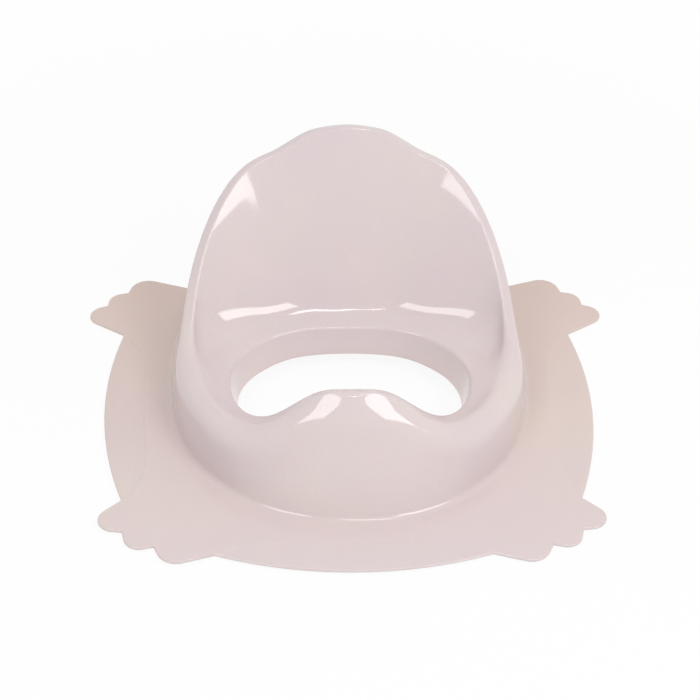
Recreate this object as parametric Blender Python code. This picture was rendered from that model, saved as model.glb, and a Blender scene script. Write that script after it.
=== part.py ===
# Toilet seat reducer: one moulded shell with four grip strips stuck under its flange.
# Metres, +Z up. The child sits facing -Y. The origin is on the ground under the middle of the whole outline.
# Left and right are as seen from the front.

import math

import bmesh
import bpy
import numpy as np

# Walls and edges of the moulding
WALL = 0.0024
RIM_HOLLOW = 0.0027  # clear space between the two walls inside the rim
RIM_ROUNDING = 0.0006  # inner radius left inside a rounded rim
BASE_RADIUS = 0.0060  # fillet between the outer wall and the flange
BASE_FLAT = 0.0070  # flat ring of the flange that belongs to the turned body
RIB_WALL = 0.0018
RIB_FOOT = 0.0020  # height of the ribs' lower edge above the skirt's

# Grip strips under the flange
STRIP_THICKNESS = 0.0015
GLUE_GAP = 0.0003
STRIP_INSET = 0.0030  # bare margin between a strip and the flange's edge
SIDE_STRIP_WIDTH = 0.0265
FRONT_STRIP_WIDTH = 0.0250
REAR_STRIP_WIDTH = 0.0055

# Body in plan, measured from the middle of the opening
BODY_HALF_WIDTH = 0.1315
BODY_FRONT = 0.1200
BODY_REAR = 0.1550
SEAT_SIDE_WIDTH = 0.0270  # top of the seat from the opening to the rim, at the sides
SEAT_FRONT_WIDTH = 0.0085
SEAT_REAR_WIDTH = 0.0897

# Heights above the top of the flange
SKIRT_BOTTOM = 0.0085
OPENING_EDGE_HEIGHT = 0.0330
SEAT_EDGE_HEIGHT = 0.0415
DISH_RISE = 0.0050  # rise of the seat from the opening to its outer edge
GUARD_HEIGHT = 0.0720
GUARD_CROWN = 0.0015  # how far the guard's inner edge lies below its top
BACK_HEIGHT = 0.1450
HUMP_HEIGHT = 0.0072  # rise of the hump, which carries the backrest on along its own slope
HUMP_FLAT = 0.0230  # half-width of the hump's level top
HUMP_HALF_WIDTH = 0.0630

# Leans, drops and radii that vary around the opening
SKIRT_DRAFT = 0.0050
WALL_LEAN = 0.0170
EDGE_SPREAD = 0.0100
EDGE_DROP = 0.0015
SEAT_EDGE_DROP = 0.0100
OPENING_RADIUS = 0.0060
CREASE_RADIUS = 0.0240
CREST_RADIUS = 0.0120
SEAT_EDGE_RADIUS = 0.0670
LEAST_REACH = 0.0015  # rounding kept on each side of a corner of the section, however slight the corner

# Flange: a disc with bowed sides, and four paws
SIDE_MARGIN = 0.0510
FRONT_MARGIN = 0.0483
REAR_MARGIN = 0.0130
SIDE_BOW_RADIUS = 0.3300
END_BOW_RADIUS = 0.2860
SIDE_BOW_SETBACK = 0.0150  # the widest place of the disc, ahead of the opening's middle if negative

REAR_PALM_INSET = 0.0675  # from the disc's side to the middle of the fan of toes
REAR_PALM_SETBACK = 0.1000
REAR_PAW_REACH = 0.0884
FRONT_PALM_INSET = 0.0761
FRONT_PALM_SETBACK = 0.0969
FRONT_PAW_REACH = 0.0750
REAR_CLEFT_RISE = 0.0028  # how far a cleft's floor lies outside the place where its toes' circles part
FRONT_CLEFT_RISE = 0.0050
OUTER_TOE_RADIUS = 0.0115
MIDDLE_TOE_RADIUS = 0.0115
INNER_TOE_RADIUS = 0.0145
REAR_TOE_ANGLES = (30.5, 44.5, 60.0)  # degrees from +X, outer toe first
FRONT_TOE_ANGLES = (-37.4, -57.2, -78.8)
REAR_SIDE_NOTCH = 0.0249  # from the outer toe's middle along Y to where the paw leaves the disc's side
FRONT_SIDE_NOTCH = 0.0190
REAR_END_NOTCH = 0.0452  # from the inner toe's middle along X to where the paw leaves the disc's end
FRONT_END_NOTCH = 0.0260

# Smoothness
TURNS = 80
CORNER_STEPS = (4, 4, 4, 6, 4)
TOE_STEPS = 6
BOW_STEPS = 8
STRIP_STEPS = 16

# Shares at 13 even turns of 15 degrees around the opening, from the front to the rear.
# Each half mirrors the other.
BODY_SHARES = (1.0, 1.0, 0.983, 0.968, 0.968, 0.977, 1.0, 1.048, 1.122, 1.162, 1.123, 1.04, 1.0)
OPENING_SHARES = (1.0, 0.984, 0.97, 1.04, 1.065, 1.035, 1.0, 0.964, 0.926, 0.92, 0.938, 0.978, 1.0)
LEAN_SHARES = (2.16, 2.16, 1.49, 0.68, 0.48, 0.33, 0.25, 0.56, 0.88, 1.0, 0.68, 0.41, 0.26)
CREASE_SHARES = (0.5, 0.5, 0.5, 0.5, 0.5, 0.5, 0.55, 0.85, 0.54, 0.26, 0.21, 0.18, 0.18)
DRAFT_SHARES = (1.4, 1.2, 1.1, 1.3, 1.2, 1.0, 1.0, 1.0, 0.84, 0.6, 0.44, 0.32, 0.24)
GUARD_INNER_SHARES = (1.0, 0.947, 0.746, 0.26, 0.02, 0, 0, 0, 0, 0, 0, 0, 0)
GUARD_OUTER_SHARES = (1.0, 0.98, 0.534, 0.062, 0, 0, 0, 0, 0, 0, 0, 0, 0)
BACK_SHARES = (0, 0, 0, 0, 0, 0, 0.01, 0.09, 0.31, 0.612, 0.855, 0.944, 1.0)
DISH_SHARES = (0.18, 0.37, -0.18, 0.06, 0.61, 0.64, 0.85, 0.5, 0.75, 0.55, 0.72, 0.65, 0.65)
SPREAD_SHARES = (0.63, 0.83, 0.78, 0.84, 0.75, 0.7, 0.55, 0.15, 0, 0, 0, 0, 0)
EDGE_DROP_SHARES = (1.02, 1.12, 0.88, 0.41, 0.3, 0.28, 0.25, 0.05, 0, 0, 0, 0, 0)
EDGE_RADIUS_SHARES = (0.99, 0.745, 0.84, 0.28, 0.2, 0.16, 0.14, 0.03, 0, 0, 0, 0, 0)
CREST_RADIUS_SHARES = (0.3, 0.11, 0.52, 0.92, 1.0, 1.0, 0.8, 0.15, 0, 0, 0, 0, 0)
OPENING_RADIUS_SHARES = (1.0, 1.0, 1.0, 0.9, 0.8, 0.7, 0.65, 0.6, 0.55, 0.5, 0.5, 0.5, 0.5)
CREASE_RADIUS_SHARES = (0.42, 0.42, 0.8, 1.5, 2.5, 2.5, 1.4, 1.2, 1.9, 1.35, 1.15, 0.9, 0.8)
NEARLY_STRAIGHT = 0.9999999  # greatest cosine of the turn at a corner of the section
STRAIGHT_SHARE = 0.1  # of the length between two corners of the section, kept straight between their arcs
RIB_TURN_SHARES = (0.1, 0.2, 0.3, 0.7, 0.8, 0.9)

# Sizes that follow from the ones above
RIM_WIDTH = 2 * WALL + RIM_HOLLOW
RIM_RADIUS = WALL + RIM_ROUNDING
FRONT_INSET = RIM_WIDTH + WALL_LEAN * LEAN_SHARES[0] + EDGE_SPREAD * SPREAD_SHARES[0]
SIDE_INSET = RIM_WIDTH + WALL_LEAN * LEAN_SHARES[6] + EDGE_SPREAD * SPREAD_SHARES[6]
REAR_INSET = RIM_WIDTH + WALL_LEAN * LEAN_SHARES[12] + EDGE_SPREAD * SPREAD_SHARES[12]
OPENING_HALF_WIDTH = BODY_HALF_WIDTH - SIDE_INSET - SEAT_SIDE_WIDTH
OPENING_FRONT = BODY_FRONT - FRONT_INSET - SEAT_FRONT_WIDTH
OPENING_REAR = BODY_REAR - REAR_INSET - SEAT_REAR_WIDTH
FLANGE_BOTTOM = STRIP_THICKNESS + GLUE_GAP
FLANGE_TOP = FLANGE_BOTTOM + WALL
DISC_HALF_WIDTH = BODY_HALF_WIDTH + SIDE_MARGIN
FRONT_REACH = BODY_FRONT + FRONT_MARGIN
REAR_REACH = BODY_REAR + REAR_MARGIN
OPENING_Y = (FRONT_REACH - REAR_REACH) / 2
FRONT_EDGE = OPENING_Y - FRONT_REACH
REAR_EDGE = OPENING_Y + REAR_REACH
BOW_MIDDLE_Y = OPENING_Y + SIDE_BOW_SETBACK


def clear_scene():
    for thing in list(bpy.data.objects):
        bpy.data.objects.remove(thing, do_unlink=True)


def plain_material(name, color, roughness):
    material = bpy.data.materials.new(name)
    material.use_nodes = True
    shader = material.node_tree.nodes["Principled BSDF"]
    shader.inputs["Base Color"].default_value = (*color, 1.0)
    shader.inputs["Roughness"].default_value = roughness
    shader.inputs["Metallic"].default_value = 0.0
    return material


def new_object(name, mesh, material):
    thing = bpy.data.objects.new(name, mesh)
    bpy.context.scene.collection.objects.link(thing)
    if material:
        mesh.materials.append(material)
    return thing


def around(shares, turn):
    """Smooth value at a turn from 0, the front, to 1, through shares given from the front to the rear."""
    knots = np.array(shares + shares[-2:0:-1], float)
    ring = np.eye(len(knots))
    slopes = np.linalg.solve(
        4 * ring + np.roll(ring, 1, axis=0) + np.roll(ring, -1, axis=0),
        3 * (np.roll(knots, -1) - np.roll(knots, 1)),
    )
    place = (turn % 1.0) * len(knots)
    first = int(place) % len(knots)
    second = (first + 1) % len(knots)
    t = place - int(place)
    return float(
        knots[first] * (1 + 2 * t) * (1 - t) ** 2
        + slopes[first] * t * (1 - t) ** 2
        + knots[second] * t * t * (3 - 2 * t)
        - slopes[second] * t * t * (1 - t)
    )


def oval_reach(turn, half_width, front, rear):
    """Distance from the middle to a smooth oval with its own half-width, front reach and rear reach."""
    angle = 2 * math.pi * turn
    toward_front = (1 + math.cos(angle)) / 2
    length_squared = front**2 * toward_front + rear**2 * (1 - toward_front)
    return math.sqrt((half_width * math.sin(angle)) ** 2 + length_squared * math.cos(angle) ** 2)


def hump_rise(across):
    """Extra height of the backrest's rim near its middle: a level top and a cosine fall."""
    fall = (abs(across) - HUMP_FLAT) / (HUMP_HALF_WIDTH - HUMP_FLAT)
    return HUMP_HEIGHT * (1 + math.cos(math.pi * min(max(fall, 0.0), 1.0))) / 2


def rounded(corners, radii, steps):
    """The corners as one line, with each inner corner replaced by an arc of its radius.

    Where two arcs would meet, the longer one shrinks first, and a straight stretch stays between them.
    """
    lengths = [np.linalg.norm(corners[i + 1] - corners[i]) for i in range(len(corners) - 1)]
    ways = [(corners[i + 1] - corners[i]) / length for i, length in enumerate(lengths)]
    turns = [math.acos(min(float(way @ next_way), NEARLY_STRAIGHT)) for way, next_way in zip(ways, ways[1:])]
    reaches = [max(radius * math.tan(turn / 2), LEAST_REACH) for radius, turn in zip(radii, turns)]
    ends = [0.0] + reaches + [0.0]
    rooms = [length * (1 - STRAIGHT_SHARE) for length in lengths]
    points = [corners[0]]
    for i, (turn, count) in enumerate(zip(turns, steps)):
        corner = corners[i + 1]
        room_before = max(rooms[i] - ends[i], rooms[i] / 2)
        room_after = max(rooms[i + 1] - ends[i + 2], rooms[i + 1] / 2)
        reach = min(reaches[i], room_before, room_after)
        middle = corner + (ways[i + 1] - ways[i]) * reach / (1 - math.cos(turn))
        start = corner - ways[i] * reach - middle
        end = corner + ways[i + 1] * reach - middle
        for j in range(count):
            part = turn * j / (count - 1)
            arc = (math.sin(turn - part) * start + math.sin(part) * end) / math.sin(turn)
            points.append(middle + arc)
    points.append(corners[-1])
    return points


def section(turn):
    """Corners of the shell's outer face at one turn, as reach from the middle and height above the flange.

    With them come the radii of the five inner corners.
    """
    opening = oval_reach(turn, OPENING_HALF_WIDTH, OPENING_FRONT, OPENING_REAR) * around(OPENING_SHARES, turn)
    body = oval_reach(turn, BODY_HALF_WIDTH, BODY_FRONT, BODY_REAR) * around(BODY_SHARES, turn)
    edge = body - WALL_LEAN * around(LEAN_SHARES, turn)
    inner_edge = edge - RIM_WIDTH - EDGE_SPREAD * around(SPREAD_SHARES, turn)
    crease = opening + (inner_edge - opening) * around(CREASE_SHARES, turn)
    skirt = opening - SKIRT_DRAFT * around(DRAFT_SHARES, turn)

    guard_rise = GUARD_HEIGHT - SEAT_EDGE_HEIGHT
    inner_rise = GUARD_HEIGHT - GUARD_CROWN - OPENING_EDGE_HEIGHT
    opening_height = OPENING_EDGE_HEIGHT + inner_rise * around(GUARD_INNER_SHARES, turn)
    crease_height = opening_height + DISH_RISE * around(DISH_SHARES, turn)
    edge_height = (
        SEAT_EDGE_HEIGHT
        + guard_rise * around(GUARD_OUTER_SHARES, turn)
        + (BACK_HEIGHT - SEAT_EDGE_HEIGHT) * around(BACK_SHARES, turn)
    )
    if math.cos(2 * math.pi * turn) < 0:
        rise = hump_rise(edge * math.sin(2 * math.pi * turn))
        lean = rise * (inner_edge - crease) / (edge_height - crease_height)
        inner_edge += lean
        edge += lean
        edge_height += rise
    drop = EDGE_DROP + SEAT_EDGE_DROP * around(EDGE_DROP_SHARES, turn)
    corners = (
        (skirt, SKIRT_BOTTOM),
        (opening, opening_height),
        (crease, crease_height),
        (inner_edge, edge_height),
        (edge, edge_height - drop),
        (body, 0.0),
        (body + BASE_FLAT, 0.0),
    )
    opening_radius = OPENING_RADIUS * around(OPENING_RADIUS_SHARES, turn)
    crease_radius = CREASE_RADIUS * around(CREASE_RADIUS_SHARES, turn)
    crest_radius = RIM_RADIUS + CREST_RADIUS * around(CREST_RADIUS_SHARES, turn)
    edge_radius = RIM_RADIUS + SEAT_EDGE_RADIUS * around(EDGE_RADIUS_SHARES, turn)
    radii = (opening_radius, crease_radius, crest_radius, edge_radius, BASE_RADIUS)
    return [np.array(corner) for corner in corners], radii


def place(reach, height, turn):
    """The point at a reach from the opening's middle and a height above the flange's top."""
    angle = 2 * math.pi * turn
    return (reach * math.sin(angle), OPENING_Y - reach * math.cos(angle), FLANGE_TOP + height)


def arc(middle, radius, start, end, steps):
    """Points of an arc from one angle to another, in radians, both ends included."""
    angles = [start + (end - start) * i / steps for i in range(steps + 1)]
    return [(middle[0] + radius * math.cos(a), middle[1] + radius * math.sin(a)) for a in angles]


def angle_to(start, end):
    return math.atan2(end[1] - start[1], end[0] - start[0])


def touch_angle(outside, middle, radius, side):
    """Angle on a circle at which a straight line from a point outside just touches it. side is -1 or 1."""
    distance = math.dist(outside, middle)
    return angle_to(middle, outside) + side * math.acos(min(radius / distance, 1.0))


def toe_middles(palm, reach, angles):
    """The middles of a paw's toes, fanned out around its palm."""
    return [
        (palm[0] + reach * math.cos(math.radians(degrees)), palm[1] + reach * math.sin(math.radians(degrees)))
        for degrees in angles
    ]


def cleft(toe, next_toe, radius, next_radius, rise):
    """The floor of the cleft between two toes, outside both of their circles."""
    apart = math.dist(toe, next_toe)
    ahead = ((next_toe[0] - toe[0]) / apart, (next_toe[1] - toe[1]) / apart)
    along = (apart**2 + radius**2 - next_radius**2) / (2 * apart)
    outward = math.sqrt(max(radius**2 - along**2, 0.0)) + rise
    return (toe[0] + ahead[0] * along + ahead[1] * outward, toe[1] + ahead[1] * along - ahead[0] * outward)


def paw(toes, radii, rise, first_notch, last_notch):
    """Outline of a paw, anticlockwise, from one notch to the other around its three toes.

    Each toe is an arc, with straight lines that touch it on the way from and to its clefts or notches.
    """
    clefts = [cleft(toes[i], toes[i + 1], radii[i], radii[i + 1], rise) for i in (0, 1)]
    corners = [first_notch] + clefts + [last_notch]
    points = []
    for i, (middle, radius) in enumerate(zip(toes, radii)):
        start = touch_angle(corners[i], middle, radius, 1)
        end = touch_angle(corners[i + 1], middle, radius, -1)
        while end < start:
            end += 2 * math.pi
        if i:
            points.append(corners[i])
        points += arc(middle, radius, start, end, TOE_STEPS)
    return points


def side_edge(y):
    """Half-width of the disc at a place along Y, on its bowed side."""
    away = y - BOW_MIDDLE_Y
    return DISC_HALF_WIDTH - SIDE_BOW_RADIUS + math.sqrt(SIDE_BOW_RADIUS**2 - away**2)


def end_bow(across):
    """How far the disc's bowed end has fallen back at a place along X."""
    return END_BOW_RADIUS - math.sqrt(END_BOW_RADIUS**2 - across**2)


def front_toes():
    """Middles of the toes of the front paw on the right, outer toe first."""
    palm = (DISC_HALF_WIDTH - FRONT_PALM_INSET, FRONT_EDGE + FRONT_PALM_SETBACK)
    return toe_middles(palm, FRONT_PAW_REACH, FRONT_TOE_ANGLES)


def rear_toes():
    """Middles of the toes of the rear paw on the right, outer toe first."""
    palm = (DISC_HALF_WIDTH - REAR_PALM_INSET, REAR_EDGE - REAR_PALM_SETBACK)
    return toe_middles(palm, REAR_PAW_REACH, REAR_TOE_ANGLES)


def flange_notches():
    """Where the paws on the right meet the disc: front end, front side, rear side, rear end."""
    front_end_x = front_toes()[-1][0] - FRONT_END_NOTCH
    front_side_y = front_toes()[0][1] + FRONT_SIDE_NOTCH
    rear_side_y = rear_toes()[0][1] - REAR_SIDE_NOTCH
    rear_end_x = rear_toes()[-1][0] - REAR_END_NOTCH
    return (
        (front_end_x, FRONT_EDGE + end_bow(front_end_x)),
        (side_edge(front_side_y), front_side_y),
        (side_edge(rear_side_y), rear_side_y),
        (rear_end_x, REAR_EDGE - end_bow(rear_end_x)),
    )


def flange_outline():
    """The flange's edge, anticlockwise from the middle of the front."""
    front_end, front_side, rear_side, rear_end = flange_notches()
    toe_radii = (OUTER_TOE_RADIUS, MIDDLE_TOE_RADIUS, INNER_TOE_RADIUS)
    half = []
    for i in range(BOW_STEPS):
        across = front_end[0] * i / BOW_STEPS
        half.append((across, FRONT_EDGE + end_bow(across)))
    half.append(front_end)
    half += paw(front_toes()[::-1], toe_radii[::-1], FRONT_CLEFT_RISE, front_end, front_side)
    for i in range(BOW_STEPS + 1):
        y = front_side[1] + (rear_side[1] - front_side[1]) * i / BOW_STEPS
        half.append((side_edge(y), y))
    half += paw(rear_toes(), toe_radii, REAR_CLEFT_RISE, rear_side, rear_end)
    for i in range(BOW_STEPS):
        across = rear_end[0] * (BOW_STEPS - i) / BOW_STEPS
        half.append((across, REAR_EDGE - end_bow(across)))
    half.append((0.0, REAR_EDGE))
    return half + [(-x, y) for x, y in half[-2:0:-1]]


def build_outer_face():
    """The shell's outer face as one open sheet, from the skirt's lower edge to the flange's edge."""
    sheet = bmesh.new()
    columns = []
    for i in range(TURNS):
        turn = i / TURNS
        corners, radii = section(turn)
        line = rounded(corners, radii, CORNER_STEPS)
        columns.append([sheet.verts.new(place(reach, height, turn)) for reach, height in line])
    for i, column in enumerate(columns):
        following = columns[(i + 1) % TURNS]
        for j in range(len(column) - 1):
            sheet.faces.new((column[j], column[j + 1], following[j + 1], following[j]))
    foot = [column[-1] for column in columns]
    inner_edges = [sheet.edges.get((foot[i - 1], foot[i])) for i in range(TURNS)]
    edge = [sheet.verts.new((x, y, FLANGE_TOP)) for x, y in flange_outline()]
    outer_edges = [sheet.edges.new((edge[i - 1], edge[i])) for i in range(len(edge))]
    bmesh.ops.triangle_fill(
        sheet, use_beauty=True, use_dissolve=False, edges=inner_edges + outer_edges, normal=(0, 0, 1)
    )
    bmesh.ops.recalc_face_normals(sheet, faces=sheet.faces)
    lowest = max(sheet.faces, key=lambda face: face.calc_center_median().y)
    if lowest.normal.z < 0:
        bmesh.ops.reverse_faces(sheet, faces=sheet.faces)
    mesh = bpy.data.meshes.new("seat_shell")
    sheet.to_mesh(mesh)
    sheet.free()
    return mesh


def build_ribs():
    """Radial ribs under the seat ring, one closed slab each, with tops in the middle of the shell's wall."""
    slabs = bmesh.new()
    foot = SKIRT_BOTTOM + RIB_FOOT
    for turn in RIB_TURN_SHARES:
        corners, radii = section(turn)
        line = np.array(rounded(corners, radii, CORNER_STEPS)[: -CORNER_STEPS[-1] - 1])
        ahead = np.gradient(line, axis=0)
        ahead /= np.linalg.norm(ahead, axis=1)[:, None]
        inward = np.stack([ahead[:, 1], -ahead[:, 0]], axis=1)
        line = line + inward * WALL / 2
        reaches = [(reach, height) for reach, height in line if height > foot]
        outline = [(reaches[0][0], foot)] + reaches + [(reaches[-1][0], foot)]
        angle = 2 * math.pi * turn
        aside = np.array((math.cos(angle), math.sin(angle), 0.0)) * RIB_WALL / 2
        face = slabs.faces.new(
            [slabs.verts.new(np.array(place(reach, height, turn)) - aside) for reach, height in outline]
        )
        grown = bmesh.ops.extrude_face_region(slabs, geom=[face])
        moved = [item for item in grown["geom"] if isinstance(item, bmesh.types.BMVert)]
        bmesh.ops.translate(slabs, verts=moved, vec=aside * 2)
    bmesh.ops.recalc_face_normals(slabs, faces=slabs.faces)
    mesh = bpy.data.meshes.new("ribs")
    slabs.to_mesh(mesh)
    slabs.free()
    ribs = new_object("ribs", mesh, None)
    ribs.hide_render = True
    ribs.display_type = "WIRE"
    return ribs


def build_shell(material):
    shell = new_object("seat_shell", build_outer_face(), material)
    wall = shell.modifiers.new("wall", "SOLIDIFY")
    wall.thickness = WALL
    wall.offset = -1.0
    wall.use_even_offset = True
    join = shell.modifiers.new("ribs", "BOOLEAN")
    join.operation = "UNION"
    join.solver = "EXACT"
    join.object = build_ribs()
    shell.data.shade_smooth()
    shell.data.set_sharp_from_angle(angle=math.radians(40))
    return shell


def build_strip(name, outline, material):
    """A flat strip standing on the ground, from its outline."""
    slab = bmesh.new()
    face = slab.faces.new([slab.verts.new((x, y, 0.0)) for x, y in outline])
    grown = bmesh.ops.extrude_face_region(slab, geom=[face])
    moved = [item for item in grown["geom"] if isinstance(item, bmesh.types.BMVert)]
    bmesh.ops.translate(slab, verts=moved, vec=(0, 0, STRIP_THICKNESS))
    bmesh.ops.recalc_face_normals(slab, faces=slab.faces)
    mesh = bpy.data.meshes.new(name)
    slab.to_mesh(mesh)
    slab.free()
    return new_object(name, mesh, material)


def crescent(edge_point, width, power):
    """Outline between an edge, given as points for -1 to 1, and a line that swells away from it."""
    outer, inner = [], []
    for i in range(STRIP_STEPS + 1):
        along = 2 * i / STRIP_STEPS - 1
        (x, y), (dx, dy) = edge_point(along)
        swell = width * (1 - abs(along) ** power)
        outer.append((x + dx * STRIP_INSET, y + dy * STRIP_INSET))
        if 0 < i < STRIP_STEPS:
            inner.append((x + dx * (STRIP_INSET + swell), y + dy * (STRIP_INSET + swell)))
    return outer + inner[::-1]


def build_strips(material):
    front_end, front_side, rear_side, rear_end = flange_notches()
    middle_y = (rear_side[1] + front_side[1]) / 2
    half_length = (rear_side[1] - front_side[1]) / 2 - STRIP_INSET

    def right_edge(along):
        y = middle_y + half_length * along
        return (side_edge(y), y), (-1.0, 0.0)

    def left_edge(along):
        y = middle_y + half_length * along
        return (-side_edge(y), y), (1.0, 0.0)

    def front_edge(along):
        across = (front_end[0] - STRIP_INSET) * along
        return (across, FRONT_EDGE + end_bow(across)), (0.0, 1.0)

    def rear_edge(along):
        across = (rear_end[0] - STRIP_INSET) * along
        return (across, REAR_EDGE - end_bow(across)), (0.0, -1.0)

    build_strip("grip_strip_right", crescent(right_edge, SIDE_STRIP_WIDTH, 4), material)
    build_strip("grip_strip_left", crescent(left_edge, SIDE_STRIP_WIDTH, 4), material)
    build_strip("grip_strip_front", crescent(front_edge, FRONT_STRIP_WIDTH, 2.5), material)
    build_strip("grip_strip_rear", crescent(rear_edge, REAR_STRIP_WIDTH, 6), material)


clear_scene()
build_shell(plain_material("pearl_pink", (0.72, 0.61, 0.60), 0.28))
build_strips(plain_material("soft_grip", (0.62, 0.55, 0.53), 0.75))
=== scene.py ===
import math

import bpy
import numpy as np
from mathutils import Matrix, Vector


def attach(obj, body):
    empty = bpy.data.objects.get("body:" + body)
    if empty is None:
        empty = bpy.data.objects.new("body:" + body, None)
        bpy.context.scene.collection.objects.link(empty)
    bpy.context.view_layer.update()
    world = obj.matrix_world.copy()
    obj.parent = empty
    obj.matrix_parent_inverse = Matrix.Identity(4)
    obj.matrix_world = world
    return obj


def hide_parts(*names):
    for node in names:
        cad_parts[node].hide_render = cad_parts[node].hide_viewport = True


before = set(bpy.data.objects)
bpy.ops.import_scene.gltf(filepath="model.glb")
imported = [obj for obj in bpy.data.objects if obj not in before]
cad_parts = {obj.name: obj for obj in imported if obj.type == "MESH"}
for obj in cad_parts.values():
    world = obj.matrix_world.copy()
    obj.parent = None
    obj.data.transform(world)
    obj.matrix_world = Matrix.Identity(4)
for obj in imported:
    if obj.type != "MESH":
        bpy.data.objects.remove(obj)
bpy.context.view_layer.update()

# Metres, +Z up, the child sits facing -Y. Heights of the shell are above the top of its flange.


# Small helpers
def smooth(t):  # t squared times (3 - 2 t): eases from 0 to 1 with level ends
    t = np.clip(t, 0, 1)
    return t * t * (3 - 2 * t)


def around(shares, turn):
    # a closed cubic curve through shares at 13 even turns from front to rear, mirrored left to right;
    # its slopes s solve 4 s + (s before) + (s after) = 3 (share after - share before)
    knots = np.array(shares + shares[-2:0:-1], float)
    count = len(knots)
    ring = np.eye(count)
    slopes = np.linalg.solve(4 * ring + np.roll(ring, 1, 0) + np.roll(ring, -1, 0),
                             3 * (np.roll(knots, -1) - np.roll(knots, 1)))
    place = (turn % 1) * count
    first = np.floor(place).astype(int) % count
    second = (first + 1) % count
    t = place - np.floor(place)
    return (knots[first] * (1 + 2 * t) * (1 - t) ** 2 + slopes[first] * t * (1 - t) ** 2
            + knots[second] * t * t * (3 - 2 * t) - slopes[second] * t * t * (1 - t))


def gridQuads(rows, columns, closedColumns=True):
    # the quads between a point of a grid and the next in its row and column; the last row joins the first,
    # and so does the last column where it is closed
    r, c = np.meshgrid(np.arange(rows), np.arange(columns if closedColumns else columns - 1), indexing="ij")
    nextRow, nextColumn = (r + 1) % rows, (c + 1) % columns
    return np.stack([r * columns + c, r * columns + nextColumn,
                     nextRow * columns + nextColumn, nextRow * columns + c], axis=-1).reshape(-1, 4)


def meshObject(name, points, faces, material):  # one smooth-shaded mesh object at the origin
    mesh = bpy.data.meshes.new(name)
    mesh.from_pydata(points.tolist(), [], [list(map(int, face)) for face in faces])
    mesh.polygons.foreach_set("use_smooth", np.ones(len(mesh.polygons), bool))
    mesh.update()
    thing = bpy.data.objects.new(name, mesh)
    bpy.context.scene.collection.objects.link(thing)
    if material:
        mesh.materials.append(material)
    return thing


# Shell: sizes, and shares at 13 even turns from the middle of the front to the middle of the rear
shell = {
    "wall": 0.0024, "rimWidth": 0.0075, "rimRadius": 0.0016, "baseRadius": 0.0060, "baseFlat": 0.0070,
    "bodyHalfWidth": 0.1315, "bodyFront": 0.1200, "bodyRear": 0.1550,
    "openingHalfWidth": 0.08725, "openingFront": 0.06098, "openingRear": 0.05338,
    "skirtBottom": 0.0085, "openingHeight": 0.0330, "seatEdgeHeight": 0.0415, "dishRise": 0.0050,
    "guardHeight": 0.0720, "guardCrown": 0.0015, "backHeight": 0.1450,
    "humpHeight": 0.0072, "humpFlat": 0.0230, "humpHalfWidth": 0.0630,
    "skirtDraft": 0.0050, "wallLean": 0.0170, "edgeSpread": 0.0100, "edgeDrop": 0.0015,
    "seatEdgeDrop": 0.0100, "openingRadius": 0.0060, "creaseRadius": 0.0240, "crestRadius": 0.0120,
    "seatEdgeRadius": 0.0670,
    "leastReach": 0.0015, "straightShare": 0.1, "straightCosine": 0.9999999, "flangeBottom": 0.0018,
    "body": (1.0, 1.0, 0.983, 0.968, 0.968, 0.977, 1.0, 1.048, 1.122, 1.162, 1.123, 1.04, 1.0),
    "opening": (1.0, 0.984, 0.97, 1.04, 1.065, 1.035, 1.0, 0.964, 0.926, 0.92, 0.938, 0.978, 1.0),
    "lean": (2.16, 2.16, 1.49, 0.68, 0.48, 0.33, 0.25, 0.56, 0.88, 1.0, 0.68, 0.41, 0.26),
    "crease": (0.5, 0.5, 0.5, 0.5, 0.5, 0.5, 0.55, 0.85, 0.54, 0.26, 0.21, 0.18, 0.18),
    "draft": (1.4, 1.2, 1.1, 1.3, 1.2, 1.0, 1.0, 1.0, 0.84, 0.6, 0.44, 0.32, 0.24),
    "guardInner": (1.0, 0.947, 0.746, 0.26, 0.02, 0, 0, 0, 0, 0, 0, 0, 0),
    "guardOuter": (1.0, 0.98, 0.534, 0.062, 0, 0, 0, 0, 0, 0, 0, 0, 0),
    "back": (0, 0, 0, 0, 0, 0, 0.01, 0.09, 0.31, 0.612, 0.855, 0.944, 1.0),
    "dish": (0.18, 0.37, -0.18, 0.06, 0.61, 0.64, 0.85, 0.5, 0.75, 0.55, 0.72, 0.65, 0.65),
    "spread": (0.63, 0.83, 0.78, 0.84, 0.75, 0.7, 0.55, 0.15, 0, 0, 0, 0, 0),
    "drop": (1.02, 1.12, 0.88, 0.41, 0.3, 0.28, 0.25, 0.05, 0, 0, 0, 0, 0),
    "edgeRadius": (1.01, 0.766, 0.86, 0.3, 0.22, 0.18, 0.16, 0.04, 0, 0, 0, 0, 0),
    "crestRadiusShare": (0.42, 0.23, 0.64, 1.04, 1.12, 1.12, 0.9, 0.22, 0, 0, 0, 0, 0),
    "openingRadiusShare": (1.0, 1.0, 1.0, 0.9, 0.8, 0.7, 0.65, 0.6, 0.55, 0.5, 0.5, 0.5, 0.5),
    "creaseRadiusShare": (0.42, 0.42, 0.8, 1.5, 2.5, 2.5, 1.4, 1.2, 1.9, 1.35, 1.15, 0.9, 0.8),
    "arcSteps": (9, 12, 8, 8, 7), "straightSteps": (5, 3, 7, 2, 6, 1),
    "lipSteps": 5, "underSteps": 4, "columnSpacing": 0.0023, "leastColumns": 8,
}

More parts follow.
